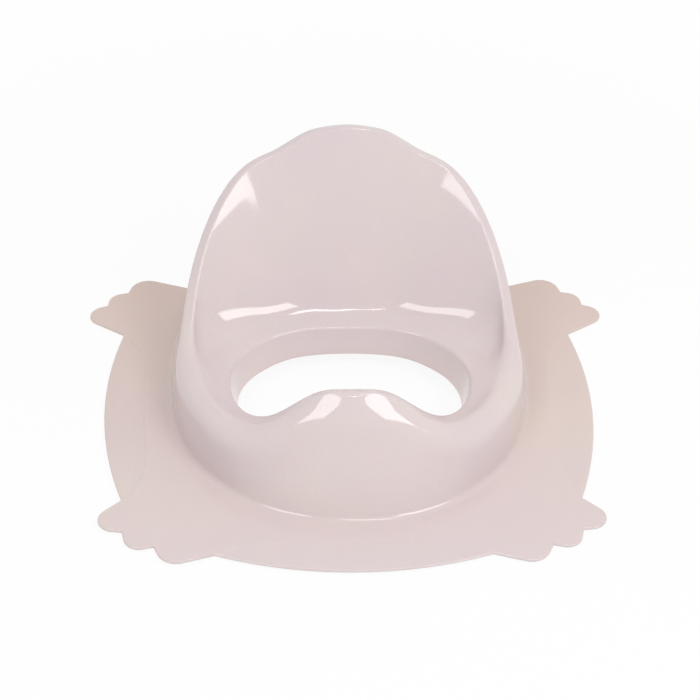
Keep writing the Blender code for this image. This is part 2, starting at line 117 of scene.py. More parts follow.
# Flange: a disc with bowed sides, four paws, and the faint step over each grip strip
flange = {
    "sideMargin": 0.0510, "frontMargin": 0.0483, "rearMargin": 0.0130,
    "sideBow": 0.3300, "endBow": 0.2860, "sideBowSetback": 0.0150,
    "rearPalm": (0.0675, 0.1000), "frontPalm": (0.0761, 0.0969), "rearReach": 0.0884, "frontReach": 0.0750,
    "rearCleft": 0.0028, "frontCleft": 0.0050, "toeRadii": (0.0115, 0.0115, 0.0145),
    "rearAngles": (30.5, 44.5, 60.0), "frontAngles": (-37.4, -57.2, -78.8),
    "rearSideNotch": 0.0249, "frontSideNotch": 0.0190, "rearEndNotch": 0.0452, "frontEndNotch": 0.0260,
    "stepDepth": 0.0004, "stepWidth": 0.0012, "stepFade": 0.0040, "rearStepShare": 0.62, "edgeRound": 0.0011,
    "topSteps": 5, "stepSteps": 4, "rimSteps": 3, "roundSteps": 7, "toeSteps": 40, "evenShare": 0.45,
    "endPoints": 60, "sidePoints": 120,
}

frontReach = shell["bodyFront"] + flange["frontMargin"]
rearReach = shell["bodyRear"] + flange["rearMargin"]
discHalfWidth = shell["bodyHalfWidth"] + flange["sideMargin"]
openingY = (frontReach - rearReach) / 2
frontEdge, rearEdge = openingY - frontReach, openingY + rearReach
flangeTop = shell["flangeBottom"] + shell["wall"]


def ovalReach(turn, halfWidth, front, rear):
    # root of (width sin)^2 + (length cos)^2, where length squared goes from front squared to rear squared
    angle = 2 * math.pi * turn
    towardFront = (1 + np.cos(angle)) / 2
    lengthSquared = front ** 2 * towardFront + rear ** 2 * (1 - towardFront)
    return np.sqrt((halfWidth * np.sin(angle)) ** 2 + lengthSquared * np.cos(angle) ** 2)


def humpRise(across):  # level top, then half a cosine wave down to nothing
    fall = (np.abs(across) - shell["humpFlat"]) / (shell["humpHalfWidth"] - shell["humpFlat"])
    return shell["humpHeight"] * (1 + np.cos(math.pi * np.clip(fall, 0, 1))) / 2


def section(turn):
    # seven corners as reach and height, and five radii, for a whole array of turns: each is a named size
    # times its share at that turn, and a corner starts from the one before it
    s = shell
    openingOval = ovalReach(turn, s["openingHalfWidth"], s["openingFront"], s["openingRear"])
    opening = openingOval * around(s["opening"], turn)
    body = ovalReach(turn, s["bodyHalfWidth"], s["bodyFront"], s["bodyRear"]) * around(s["body"], turn)
    edge = body - s["wallLean"] * around(s["lean"], turn)
    innerEdge = edge - s["rimWidth"] - s["edgeSpread"] * around(s["spread"], turn)
    crease = opening + (innerEdge - opening) * around(s["crease"], turn)
    skirt = opening - s["skirtDraft"] * around(s["draft"], turn)
    openingHeight = s["openingHeight"] + around(s["guardInner"], turn) * (
        s["guardHeight"] - s["guardCrown"] - s["openingHeight"])
    creaseHeight = openingHeight + s["dishRise"] * around(s["dish"], turn)
    edgeHeight = (s["seatEdgeHeight"]
                  + (s["guardHeight"] - s["seatEdgeHeight"]) * around(s["guardOuter"], turn)
                  + (s["backHeight"] - s["seatEdgeHeight"]) * around(s["back"], turn))
    # the hump carries the backrest on along its own slope
    rise = (np.cos(2 * math.pi * turn) < 0) * humpRise(edge * np.sin(2 * math.pi * turn))
    lean = rise * (innerEdge - crease) / (edgeHeight - creaseHeight)
    innerEdge, edge, edgeHeight = innerEdge + lean, edge + lean, edgeHeight + rise
    drop = s["edgeDrop"] + s["seatEdgeDrop"] * around(s["drop"], turn)
    level = np.zeros_like(turn)
    corners = np.array([(skirt, level + s["skirtBottom"]), (opening, openingHeight), (crease, creaseHeight),
                        (innerEdge, edgeHeight), (edge, edgeHeight - drop), (body, level),
                        (body + s["baseFlat"], level)])
    edgeRadius = s["rimRadius"] + s["seatEdgeRadius"] * around(s["edgeRadius"], turn)
    crestRadius = s["rimRadius"] + s["crestRadius"] * around(s["crestRadiusShare"], turn)
    openingRadius = s["openingRadius"] * around(s["openingRadiusShare"], turn)
    creaseRadius = s["creaseRadius"] * around(s["creaseRadiusShare"], turn)
    radii = np.array([openingRadius, creaseRadius, crestRadius, edgeRadius, level + s["baseRadius"]])
    return corners, radii


def rounded(corners, radii):
    # corners joined by straight stretches and arcs, each arc reaching radius times tan(turn / 2) along both
    # its sides; where two arcs would meet, the longer one shrinks first
    ways = corners[1:] - corners[:-1]
    lengths = np.linalg.norm(ways, axis=1)
    ways = ways / lengths[:, None]
    turns = np.arccos(np.minimum((ways[:-1] * ways[1:]).sum(axis=1), shell["straightCosine"]))
    reaches = np.maximum(radii * np.tan(turns / 2), shell["leastReach"])
    ends = np.concatenate([reaches[:1] * 0, reaches, reaches[:1] * 0])
    rooms = lengths * (1 - shell["straightShare"])
    reaches = np.minimum.reduce([reaches, np.maximum(rooms[:-1] - ends[:-2], rooms[:-1] / 2),
                                 np.maximum(rooms[1:] - ends[2:], rooms[1:] / 2)])
    rows, last = [], corners[0]
    for i, (straight, count) in enumerate(zip(shell["straightSteps"], shell["arcSteps"])):
        corner, turn, reach = corners[i + 1], turns[i], reaches[i]
        middle = corner + (ways[i + 1] - ways[i]) * reach / (1 - np.cos(turn))
        start, end = corner - ways[i] * reach, corner + ways[i + 1] * reach
        rows += [last + (start - last) * j / straight for j in range(straight)]
        for j in range(count):
            part = turn * j / count
            spoke = np.sin(turn - part) * (start - middle) + np.sin(part) * (end - middle)
            rows.append(middle + spoke / np.sin(turn))
        last = end
    rows += [last, corners[-1]]
    return np.array(rows)  # rows, reach and height, turns


def placed(reach, height, turn):  # from reach, height and turn to a point
    angle = 2 * math.pi * turn
    return np.stack([reach * np.sin(angle), openingY - reach * np.cos(angle), flangeTop + height], axis=-1)


def arcPoints(middle, radius, start, end, steps):  # points on a circle at even angles
    angles = np.linspace(start, end, steps + 1)
    return np.stack([middle[0] + radius * np.cos(angles), middle[1] + radius * np.sin(angles)], axis=1)


def sideEdge(y):  # half-width of the disc on its bowed side, an arc of radius sideBow
    along = y - openingY - flange["sideBowSetback"]
    return discHalfWidth - flange["sideBow"] + np.sqrt(flange["sideBow"] ** 2 - along ** 2)


def endBow(across):  # how far the disc's bowed end, an arc of radius endBow, has fallen back
    return flange["endBow"] - np.sqrt(flange["endBow"] ** 2 - across ** 2)


def toeMiddles(palm, reach, angles):  # places at one reach from the middle of the palm
    turned = np.radians(angles)
    return [np.array([palm[0] + reach * math.cos(a), palm[1] + reach * math.sin(a)]) for a in turned]


def cleftFloor(toe, nextToe, radius, nextRadius, rise):
    # outside the place where two toes' circles cross, by rise along the line through both crossings
    apart = np.linalg.norm(nextToe - toe)
    ahead = (nextToe - toe) / apart
    along = (apart ** 2 + radius ** 2 - nextRadius ** 2) / (2 * apart)
    outward = math.sqrt(max(radius ** 2 - along ** 2, 0)) + rise
    return toe + ahead * along + np.array([ahead[1], -ahead[0]]) * outward


def touchAngle(outside, middle, radius, side):
    # where a straight line from a point outside just touches a circle: the point's bearing, plus or minus
    # acos(radius / distance)
    away = outside - middle
    return math.atan2(away[1], away[0]) + side * math.acos(min(radius / np.linalg.norm(away), 1))


def pawOutline(toes, radii, rise, firstNotch, lastNotch):
    # anticlockwise from notch to notch around three toes: arcs joined by lines that touch them and meet in
    # the clefts
    clefts = [cleftFloor(toes[i], toes[i + 1], radii[i], radii[i + 1], rise) for i in (0, 1)]
    corners = [firstNotch] + clefts + [lastNotch]
    stretches = []
    for i, (middle, radius) in enumerate(zip(toes, radii)):
        start = touchAngle(corners[i], middle, radius, 1)
        end = touchAngle(corners[i + 1], middle, radius, -1)
        end += 2 * math.pi * (end < start)
        if i:
            stretches.append(corners[i][None])
        stretches.append(arcPoints(middle, radius, start, end, flange["toeSteps"]))
    return np.concatenate(stretches)


def flangeParts():
    # the right half of the outline from the middle of the front, in five stretches, and the four notches
    f = flange
    frontPalm = (discHalfWidth - f["frontPalm"][0], frontEdge + f["frontPalm"][1])
    rearPalm = (discHalfWidth - f["rearPalm"][0], rearEdge - f["rearPalm"][1])
    frontToes = toeMiddles(frontPalm, f["frontReach"], f["frontAngles"])
    rearToes = toeMiddles(rearPalm, f["rearReach"], f["rearAngles"])
    frontEndX, rearEndX = frontToes[-1][0] - f["frontEndNotch"], rearToes[-1][0] - f["rearEndNotch"]
    frontSideY, rearSideY = frontToes[0][1] + f["frontSideNotch"], rearToes[0][1] - f["rearSideNotch"]
    frontEnd = np.array([frontEndX, frontEdge + endBow(frontEndX)])
    frontSide = np.array([sideEdge(frontSideY), frontSideY])
    rearSide = np.array([sideEdge(rearSideY), rearSideY])
    rearEnd = np.array([rearEndX, rearEdge - endBow(rearEndX)])
    across = np.linspace(0, frontEndX, f["endPoints"])
    y = np.linspace(frontSideY, rearSideY, f["sidePoints"])
    back = np.linspace(rearEndX, 0, f["endPoints"])
    stretches = [
        np.stack([across, frontEdge + endBow(across)], axis=1),
        pawOutline(frontToes[::-1], f["toeRadii"][::-1], f["frontCleft"], frontEnd, frontSide),
        np.stack([sideEdge(y), y], axis=1),
        pawOutline(rearToes, f["toeRadii"], f["rearCleft"], rearSide, rearEnd),
        np.stack([back, rearEdge - endBow(back)], axis=1),
    ]
    return stretches, (frontEnd, frontSide, rearSide, rearEnd)


def crescentSwell(along, width, power):  # width (1 - |along| to a power), with along from -1 to 1
    return width * (1 - np.abs(along) ** power)


def flangeColumns():
    # even points along the outline, each with its inward normal, the way to its step over a strip, the step's
    # depth, and its turn, which lies between its own bearing and an even share of the round
    stretches, (frontEnd, frontSide, rearSide, rearEnd) = flangeParts()
    clefts = [flange["toeSteps"] + 1, 2 * flange["toeSteps"] + 3]  # their places in a paw's outline
    outline, step, depth = [], [], []
    for kind, line in zip(("front", "paw", "side", "paw", "rear"), stretches):
        lengths = np.concatenate([[0], np.cumsum(np.linalg.norm(np.diff(line, axis=0), axis=1))])
        count = max(int(round(lengths[-1] / shell["columnSpacing"])), shell["leastColumns"])
        share = np.linspace(0, 1, count + 1)
        if kind == "paw":  # keeps the sharp floors of the clefts
            share = np.unique(np.concatenate([share, lengths[clefts] / lengths[-1]]))
        points = np.stack([np.interp(share * lengths[-1], lengths, line[:, k]) for k in (0, 1)], axis=1)
        toward = np.zeros_like(points)
        swell = np.zeros(len(points))
        if kind == "front":
            along = np.clip(points[:, 0] / (frontEnd[0] - strips["inset"]), -1, 1)
            toward[:, 1] = 1
            swell = crescentSwell(along, strips["frontWidth"], strips["frontPower"])
        if kind == "rear":  # the wall's foot hides the rear strip's step
            toward[:, 1] = -flange["rearStepShare"]
        if kind == "side":
            half = (rearSide[1] - frontSide[1]) / 2
            along = np.clip((points[:, 1] - frontSide[1] - half) / (half - strips["inset"]), -1, 1)
            toward[:, 0] = -1
            swell = crescentSwell(along, strips["sideWidth"], strips["sidePower"])
        outline.append(points)
        step.append(toward * (strips["inset"] + swell)[:, None])
        depth.append(smooth(swell / flange["stepFade"]) * flange["stepDepth"])
    outline, step, depth = np.concatenate(outline), np.concatenate(step), np.concatenate(depth)
    mirror = np.array([-1, 1])
    outline = np.concatenate([outline, outline[-2:0:-1] * mirror])
    step = np.concatenate([step, step[-2:0:-1] * mirror])
    depth = np.concatenate([depth, depth[-2:0:-1]])
    tangent = np.roll(outline, -1, 0) - np.roll(outline, 1, 0)
    inward = np.stack([-tangent[:, 1], tangent[:, 0]], axis=1)
    inward /= np.linalg.norm(inward, axis=1)[:, None]
    bare = ~step.any(axis=1)  # the paws have no strip
    step[bare] = inward[bare] * strips["inset"]
    angle = np.unwrap(np.arctan2(outline[:, 0], -(outline[:, 1] - openingY)))
    even = 2 * math.pi * np.arange(len(outline)) / len(outline)
    turn = (angle + (even - angle) * flange["evenShare"]) / (2 * math.pi)
    return outline, inward, step, depth, turn


def shellPoints():
    # the shell as one closed grid: up the skirt, over the seat and rim, down the wall, out along the flange's
    # top, round its edge, back along its underside, and up and down inside, one wall away from the outer face
    # along its normal
    s, f = shell, flange
    outline, inward, step, depth, turn = flangeColumns()
    line = rounded(*section(turn))
    lip = s["wall"] / 2
    line[0, 1] += lip
    upper = placed(line[:, 0], line[:, 1], turn[None, :])
    across = np.roll(upper, -1, 1) - np.roll(upper, 1, 1)
    ahead = np.gradient(upper, axis=0)
    normal = np.cross(ahead, across)
    normal /= np.linalg.norm(normal, axis=2)[..., None]
    normal[-1] = (0, 0, 1)
    inner = upper - normal * s["wall"]
    innerRows = np.unique(np.append(np.arange(0, len(inner), 2), len(inner) - 1))  # every second row

    foot = upper[-1, :, :2]
    stepPlace = outline + step
    stepWay = step / np.linalg.norm(step, axis=1)[:, None]
    before = stepPlace + stepWay * f["stepWidth"] / 2
    after = stepPlace - stepWay * f["stepWidth"] / 2
    roundStart = outline + inward * f["edgeRound"]

    def level(flat, height):  # a row of plan points lifted to a height
        return np.concatenate([flat, np.broadcast_to(height, len(flat))[:, None]], axis=1)

    top = [level(foot + (before - foot) * j / f["topSteps"], flangeTop) for j in range(1, f["topSteps"])]
    for j in range(f["stepSteps"] + 1):
        share = j / f["stepSteps"]
        top.append(level(before + (after - before) * share, flangeTop - depth * smooth(share)))
    top += [level(after + (roundStart - after) * j / f["rimSteps"], flangeTop - depth)
            for j in range(1, f["rimSteps"])]
    halfThickness = (flangeTop - depth - s["flangeBottom"]) / 2
    angles = np.linspace(math.pi / 2, -math.pi / 2, f["roundSteps"] + 1)
    edge = [level(roundStart - inward * f["edgeRound"] * math.cos(a),
                  s["flangeBottom"] + halfThickness * (1 + math.sin(a))) for a in angles]
    bottomFoot = inner[-1, :, :2]
    under = [level(roundStart + (bottomFoot - roundStart) * j / s["underSteps"], s["flangeBottom"])
             for j in range(1, s["underSteps"])]
    middle = (upper[0] + inner[0]) / 2
    half = (upper[0] - inner[0]) / 2
    down = np.array([0, 0, -lip])
    lipRows = [middle + half * -math.cos(a) + down * math.sin(a)
               for a in [math.pi * j / s["lipSteps"] for j in range(1, s["lipSteps"])]]
    return np.concatenate([upper, np.array(top), np.array(edge), np.array(under), inner[innerRows[::-1]],
                           np.array(lipRows)])


def shellObject(material):  # the shell's closed grid as one mesh
    points = shellPoints()
    rows, columns = points.shape[:2]
    print("shell grid", rows, "by", columns)
    thing = meshObject("seatShell", points.reshape(-1, 3), gridQuads(rows, columns), material)
    outwards(thing)
    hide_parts("seat_shell")
    return thing


# Grip strips under the flange, with a fine tread on the side that grips
strips = {
    "thickness": 0.0018, "inset": 0.0030, "sideWidth": 0.0265, "frontWidth": 0.0250, "rearWidth": 0.0055,
    "sidePower": 4, "frontPower": 2.5, "rearPower": 6, "tipWidth": 0.0012,
    "round": 0.0004, "treadPitch": 0.0030, "treadDepth": 0.00035, "treadMargin": 0.0020, "treadStart": 0.5,
    "treadFlat": 1.1, "alongSteps": 460, "acrossSteps": 18, "roundSteps": 3,
}


def stripObject(name, node, edgePoint, width, power, material):
    # across a crescent: a closed line round the tread, the inner side, the glued face and the outer side;
    # the tread is a flattened cosine wave along the edge that fades out at both sides
    s = strips
    along = np.linspace(-1, 1, s["alongSteps"] + 1)
    edge, toward = edgePoint(along)
    swell = np.maximum(crescentSwell(along, width, power), s["tipWidth"])
    length = np.concatenate([[0], np.cumsum(np.linalg.norm(np.diff(edge, axis=0), axis=1))])
    share = np.linspace(0, 1, s["acrossSteps"] + 1)
    offset = share[:, None] * swell[None, :]
    fade = smooth(np.minimum(offset, swell - offset) / s["treadMargin"] - s["treadStart"])
    wave = smooth(0.5 + s["treadFlat"] * np.cos(2 * math.pi * length / s["treadPitch"]) / 2)
    tread = fade * (1 - wave) * s["treadDepth"]
    radius, level = s["round"], np.ones_like(swell)
    bends = [(radius * (1 - math.cos(a)), radius * (1 - math.sin(a)))
             for a in np.linspace(0, math.pi / 2, s["roundSteps"] + 1)]
    rows = [(offset[0] + aside, level * rise) for aside, rise in bends[:-1]]
    rows += [(np.clip(offset[i], radius, swell - radius), tread[i]) for i in range(1, len(share) - 1)]
    rows += [(swell - aside, level * rise) for aside, rise in bends[::-1][1:]]
    rows += [(swell - aside, level * (s["thickness"] - rise)) for aside, rise in bends]
    rows += [(offset[0] + aside, level * (s["thickness"] - rise)) for aside, rise in bends[::-1]]
    points = np.array([np.column_stack([edge + toward * (s["inset"] + place)[:, None], height])
                       for place, height in rows])
    rowCount, columnCount = points.shape[:2]
    quads = gridQuads(rowCount, columnCount, closedColumns=False)
    firstCap = [i * columnCount for i in range(rowCount)]
    lastCap = [i + columnCount - 1 for i in firstCap[::-1]]
    thing = meshObject(name, points.reshape(-1, 3), quads.tolist() + [firstCap, lastCap], material)
    outwards(thing)
    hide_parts(node)
    return thing


def outwards(thing):  # a closed mesh whose volume comes out negative is turned round
    mesh = thing.data
    points = np.empty(len(mesh.vertices) * 3)
    mesh.vertices.foreach_get("co", points)
    points = points.reshape(-1, 3)
    mesh.calc_loop_triangles()
    corners = np.empty(len(mesh.loop_triangles) * 3, np.int32)
    mesh.loop_triangles.foreach_get("vertices", corners)
    a, b, c = points[corners.reshape(-1, 3)].transpose(1, 0, 2)
    if (a * np.cross(b, c)).sum() < 0:
        mesh.flip_normals()


def stripObjects(material):
    # the four strips; each line gives points of the flange's edge for along from -1 to 1, and the way inwards
    _, (frontEnd, frontSide, rearSide, rearEnd) = flangeParts()
    middleY = (rearSide[1] + frontSide[1]) / 2
    halfLength = (rearSide[1] - frontSide[1]) / 2 - strips["inset"]

    def sideLine(sign):
        def line(along):
            y = middleY + halfLength * along
            return np.stack([sign * sideEdge(y), y], axis=1), np.array([-sign, 0.0])
        return line

    def frontLine(along):
        across = (frontEnd[0] - strips["inset"]) * along
        return np.stack([across, frontEdge + endBow(across)], axis=1), np.array([0.0, 1.0])

    def rearLine(along):
        across = (rearEnd[0] - strips["inset"]) * along
        return np.stack([across, rearEdge - endBow(across)], axis=1), np.array([0.0, -1.0])

    plans = (("gripStripRight", "grip_strip_right", sideLine(1), strips["sideWidth"], strips["sidePower"]),
             ("gripStripLeft", "grip_strip_left", sideLine(-1), strips["sideWidth"], strips["sidePower"]),
             ("gripStripFront", "grip_strip_front", frontLine, strips["frontWidth"], strips["frontPower"]),
             ("gripStripRear", "grip_strip_rear", rearLine, strips["rearWidth"], strips["rearPower"]))
    return [stripObject(*plan, material) for plan in plans]


# Ribs under the seat ring
ribs = {"turns": (0.1, 0.2, 0.3, 0.7, 0.8, 0.9), "thickness": 0.0018, "foot": 0.0020, "round": 0.0003,
        "roundSteps": 2, "turnSlice": 0.0001}


def ribObjects(material):
    # each rib is the room under the shell at one turn, from its foot up into the wall, given a thickness
    things = []
    for number, turn in enumerate(ribs["turns"], start=1):
        turns = np.array([turn - ribs["turnSlice"], turn, turn + ribs["turnSlice"]])
        line = rounded(*section(turns))
        line = line[:-(shell["arcSteps"][-1] + 2)]  # up to the fillet at the flange
        ahead = np.gradient(line[:, :, 1], axis=0)
        ahead /= np.linalg.norm(ahead, axis=1)[:, None]
        line = line[:, :, 1] + np.stack([ahead[:, 1], -ahead[:, 0]], axis=1) * shell["wall"] / 2
        foot = shell["skirtBottom"] + ribs["foot"]
        line = line[line[:, 1] > foot]
        line = np.concatenate([[[line[0, 0], foot]], line, [[line[-1, 0], foot]]])
        angle = 2 * math.pi * turn
        aside = np.array([math.cos(angle), math.sin(angle), 0]) * ribs["thickness"] / 2
        flat = placed(line[:, 0], line[:, 1], np.full(len(line), turn))
        count = len(flat)
        points = np.concatenate([flat - aside, flat + aside])
        sides = [[i, (i + 1) % count, (i + 1) % count + count, i + count] for i in range(count)]
        thing = meshObject("seatRib" + str(number), points,
                           sides + [list(range(count))[::-1], list(range(count, 2 * count))], material)
        outwards(thing)
        thing.data.polygons.foreach_set("use_smooth", np.zeros(len(thing.data.polygons), bool))
        bevel = thing.modifiers.new("softEdges", "BEVEL")
        bevel.width, bevel.segments, bevel.limit_method = ribs["round"], ribs["roundSteps"], "ANGLE"
        things.append(thing)
    return things


# Materials
def nodeGroup(name, inputs, outputs):
    # an empty shader group with named sockets: colours, places, and numbers with their usual values
    group = bpy.data.node_groups.new(name, "ShaderNodeTree")
    kinds = {"colour": "NodeSocketColor", "place": "NodeSocketVector", "number": "NodeSocketFloat"}
    for label, kind, value in inputs:
        socket = group.interface.new_socket(name=label, in_out="INPUT", socket_type=kinds[kind])
        if value is not None:
            socket.default_value = value
    for label, kind in outputs:
        group.interface.new_socket(name=label, in_out="OUTPUT", socket_type=kinds[kind])
    return group, group.nodes.new("NodeGroupInput").outputs, group.nodes.new("NodeGroupOutput").inputs


def maths(tree, operation, *values, clamp=False):  # one Math node; each value is a number or a socket
    node = tree.nodes.new("ShaderNodeMath")
    node.operation, node.use_clamp = operation, clamp
    for socket, value in zip(node.inputs, values):
        if isinstance(value, (int, float)):
            socket.default_value = value
        else:
            tree.links.new(value, socket)
    return node.outputs[0]


def noiseAt(tree, place, size, shift, detail=2.0):
    # noise whose lumps are about size metres across, on a place that is shifted so that each pattern differs
    move = tree.nodes.new("ShaderNodeVectorMath")
    move.operation = "ADD"
    tree.links.new(place, move.inputs[0])
    move.inputs[1].default_value = [shift * part for part in (1.0, 0.7, -0.4)]  # along a slanting way
    noise = tree.nodes.new("ShaderNodeTexNoise")
    noise.inputs["Detail"].default_value = detail
    tree.links.new(move.outputs[0], noise.inputs["Vector"])
    tree.links.new(maths(tree, "DIVIDE", 1.0, size), noise.inputs["Scale"])
    return noise.outputs["Fac"]


def mixed(tree, share, first, second):  # (1 - share) first + share second, as colours
    node = tree.nodes.new("ShaderNodeMix")
    node.data_type = "RGBA"
    for value, number in ((share, 0), (first, 6), (second, 7)):
        tree.links.new(value, node.inputs[number])
    return node.outputs[2]


def tintDriftGroup():
    # Colour drifts to Warm where one slow noise is high and to Cool where another is, and is then multiplied
    # by 1 + Fleck (fine noise - 0.5)
    shifts = {"warm": 0.37, "cool": 1.91, "fleck": 0.83}
    steepness = {"rise": 4.0, "start": -1.7}  # a patch is rise times the slow noise plus start
    tree, given, made = nodeGroup("tintDrift", [
        ("Place", "place", None), ("Colour", "colour", (0.7, 0.6, 0.6, 1)),
        ("Warm", "colour", (0.75, 0.65, 0.6, 1)), ("Cool", "colour", (0.7, 0.6, 0.65, 1)),
        ("Size", "number", 0.1), ("Strength", "number", 0.5),
        ("Fleck Size", "number", 0.002), ("Fleck", "number", 0.05)], [("Colour", "colour")])

    def patch(shift):  # Strength times a slow noise, steepened and held between 0 and 1
        slow = noiseAt(tree, given["Place"], given["Size"], shift)
        steep = maths(tree, "MULTIPLY_ADD", slow, steepness["rise"], steepness["start"], clamp=True)
        return maths(tree, "MULTIPLY", steep, given["Strength"])

    first = mixed(tree, patch(shifts["warm"]), given["Colour"], given["Warm"])
    second = mixed(tree, patch(shifts["cool"]), first, given["Cool"])
    speck = noiseAt(tree, given["Place"], given["Fleck Size"], shifts["fleck"], detail=3.0)
    fine = maths(tree, "SUBTRACT", speck, 0.5)
    flecked = tree.nodes.new("ShaderNodeVectorMath")
    flecked.operation = "SCALE"
    tree.links.new(second, flecked.inputs[0])
    tree.links.new(maths(tree, "MULTIPLY_ADD", fine, given["Fleck"], 1.0), flecked.inputs["Scale"])
    tree.links.new(flecked.outputs[0], made["Colour"])
    return tree


def paintedLowShadeGroup():
    # Painted shade: Colour darkens and turns beiger towards Painted Shade near the ground and towards the
    # rear, where the backrest shades the flange, by Strength (1 - height / Fade) (1 + y / Depth) / 2
    tree, given, made = nodeGroup("paintedLowShade", [
        ("Place", "place", None), ("Colour", "colour", (0.7, 0.6, 0.6, 1)),
        ("Painted Shade", "colour", (0.7, 0.6, 0.5, 1)), ("Fade", "number", 0.03),
        ("Depth", "number", 0.17), ("Strength", "number", 0.5)], [("Colour", "colour")])
    parts = tree.nodes.new("ShaderNodeSeparateXYZ")
    tree.links.new(given["Place"], parts.inputs[0])
    paintedShade = maths(tree, "SUBTRACT", 1.0, maths(tree, "DIVIDE", parts.outputs["Z"], given["Fade"]), clamp=True)
    back = maths(tree, "DIVIDE", parts.outputs["Y"], given["Depth"])
    rear = maths(tree, "MULTIPLY_ADD", back, 0.5, 0.5, clamp=True)
    share = maths(tree, "MULTIPLY", maths(tree, "MULTIPLY", paintedShade, rear), given["Strength"], clamp=True)
    tree.links.new(mixed(tree, share, given["Colour"], given["Painted Shade"]), made["Colour"])
    return tree


def surfaceGrainGroup():
    # Height = Depth times a fine noise, in metres; Roughness = Roughness + Spread (wide noise - 0.5)
    shifts = {"fine": 0.11, "wide": 2.3}
    widening = 9.0  # the wide noise's lumps against the fine one's
    tree, given, made = nodeGroup("surfaceGrain", [
        ("Place", "place", None), ("Size", "number", 0.002), ("Depth", "number", 0.00001),
        ("Roughness", "number", 0.3), ("Spread", "number", 0.1)],
        [("Height", "number"), ("Roughness", "number")])
    fine = noiseAt(tree, given["Place"], given["Size"], shifts["fine"], detail=3.0)
    wideSize = maths(tree, "MULTIPLY", given["Size"], widening)
    wide = noiseAt(tree, given["Place"], wideSize, shifts["wide"], detail=4.0)
    tree.links.new(maths(tree, "MULTIPLY", fine, given["Depth"]), made["Height"])
    change = maths(tree, "MULTIPLY", maths(tree, "SUBTRACT", wide, 0.5), given["Spread"])
    tree.links.new(maths(tree, "ADD", given["Roughness"], change, clamp=True), made["Roughness"])
    return tree


pearl = {"colour": (0.712, 0.612, 0.610, 1), "warm": (0.742, 0.650, 0.606, 1),
         "cool": (0.698, 0.588, 0.619, 1),
         "driftSize": 0.09, "drift": 0.6, "fleckSize": 0.0022, "fleck": 0.06,
         # painted shade: a darker, beiger colour near the ground and towards the rear, where the backrest
         # shades the flange
         "paintedShade": (0.690, 0.540, 0.462, 1), "paintedShadeFade": 0.022, "paintedShadeDepth": 0.17, "paintedShadeShare": 1.0,
         "grainSize": 0.0035, "grainDepth": 0.000003, "roughness": 0.07, "roughnessSpread": 0.04,
         "coat": 0.40, "coatRoughness": 0.03, "specular": 0.44,
         "subsurface": 0.06, "subsurfaceRadius": (0.004, 0.0025, 0.002)}
grip = {"colour": (0.60, 0.53, 0.50, 1), "warm": (0.64, 0.56, 0.50, 1),
        "cool": (0.57, 0.51, 0.50, 1),
        "driftSize": 0.03, "drift": 0.6, "fleckSize": 0.0012, "fleck": 0.10,
        "grainSize": 0.0004, "grainDepth": 0.00004, "roughness": 0.78, "roughnessSpread": 0.15}


def placedGroup(tree, group, place, values):
    # one effect in a material, on the piece's own place, with its inputs set from pairs of label and value
    node = tree.nodes.new("ShaderNodeGroup")
    node.node_tree = group
    for label, value in values:
        node.inputs[label].default_value = value
    tree.links.new(place, node.inputs["Place"])
    return node


def finishMaterial(name, look, tintDrift, surfaceGrain, paintedLowShade=None):
    # one Principled surface whose colour drifts and whose gloss and bump come from the grain; the glossy
    # finish also has painted shade low at the rear, a clear coat and a little light passing through
    material = bpy.data.materials.new(name)
    material.use_nodes = True
    tree = material.node_tree
    surface = tree.nodes["Principled BSDF"]
    place = tree.nodes.new("ShaderNodeTexCoord").outputs["Object"]
    links = tree.links
    tint = placedGroup(tree, tintDrift, place, (
        ("Colour", look["colour"]), ("Warm", look["warm"]), ("Cool", look["cool"]),
        ("Size", look["driftSize"]), ("Strength", look["drift"]),
        ("Fleck Size", look["fleckSize"]), ("Fleck", look["fleck"])))
    texture = placedGroup(tree, surfaceGrain, place, (
        ("Size", look["grainSize"]), ("Depth", look["grainDepth"]),
        ("Roughness", look["roughness"]), ("Spread", look["roughnessSpread"])))
    bump = tree.nodes.new("ShaderNodeBump")
    bump.inputs["Distance"].default_value = 1.0
    links.new(texture.outputs["Roughness"], surface.inputs["Roughness"])
    links.new(texture.outputs["Height"], bump.inputs["Height"])
    links.new(bump.outputs["Normal"], surface.inputs["Normal"])
    colour = tint.outputs["Colour"]
    if paintedLowShade:
        # painted shade: darker and beiger near the ground and towards the rear
        paintedShade = placedGroup(tree, paintedLowShade, place, (
            ("Painted Shade", look["paintedShade"]), ("Fade", look["paintedShadeFade"]),
            ("Depth", look["paintedShadeDepth"]), ("Strength", look["paintedShadeShare"])))
        links.new(colour, paintedShade.inputs["Colour"])
        colour = paintedShade.outputs["Colour"]
        surface.inputs["Coat Weight"].default_value = look["coat"]
        surface.inputs["Coat Roughness"].default_value = look["coatRoughness"]
        surface.inputs["Specular IOR Level"].default_value = look["specular"]
        surface.inputs["Subsurface Weight"].default_value = look["subsurface"]
        surface.inputs["Subsurface Radius"].default_value = look["subsurfaceRadius"]
        surface.inputs["Subsurface Scale"].default_value = 1.0
    links.new(colour, surface.inputs["Base Color"])
    return material


tintDrift, surfaceGrain, paintedLowShade = tintDriftGroup(), surfaceGrainGroup(), paintedLowShadeGroup()
pearlShell = finishMaterial("pearlShell", pearl, tintDrift, surfaceGrain, paintedLowShade)
softGrip = finishMaterial("softGrip", grip, tintDrift, surfaceGrain)
print("materials made")

seatShell = shellObject(pearlShell)
seatRibs = ribObjects(pearlShell)
gripStrips = stripObjects(softGrip)
for rib in seatRibs:
    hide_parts("seat_shell")
for piece in [seatShell] + seatRibs:
    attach(piece, "root")
for piece in gripStrips:
    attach(piece, "root")
print("pieces made", 1 + len(seatRibs) + len(gripStrips))


# Stage, lights and camera
stage = {"floorSize": 6.0, "floor": (0.90, 0.90, 0.90, 1), "floorGlow": 0.90, "glowFrom": 0.30,
         "glowTo": 0.90, "world": 0.63, "worldBelow": 1.0, "worldLean": (0.08, 0.10)}


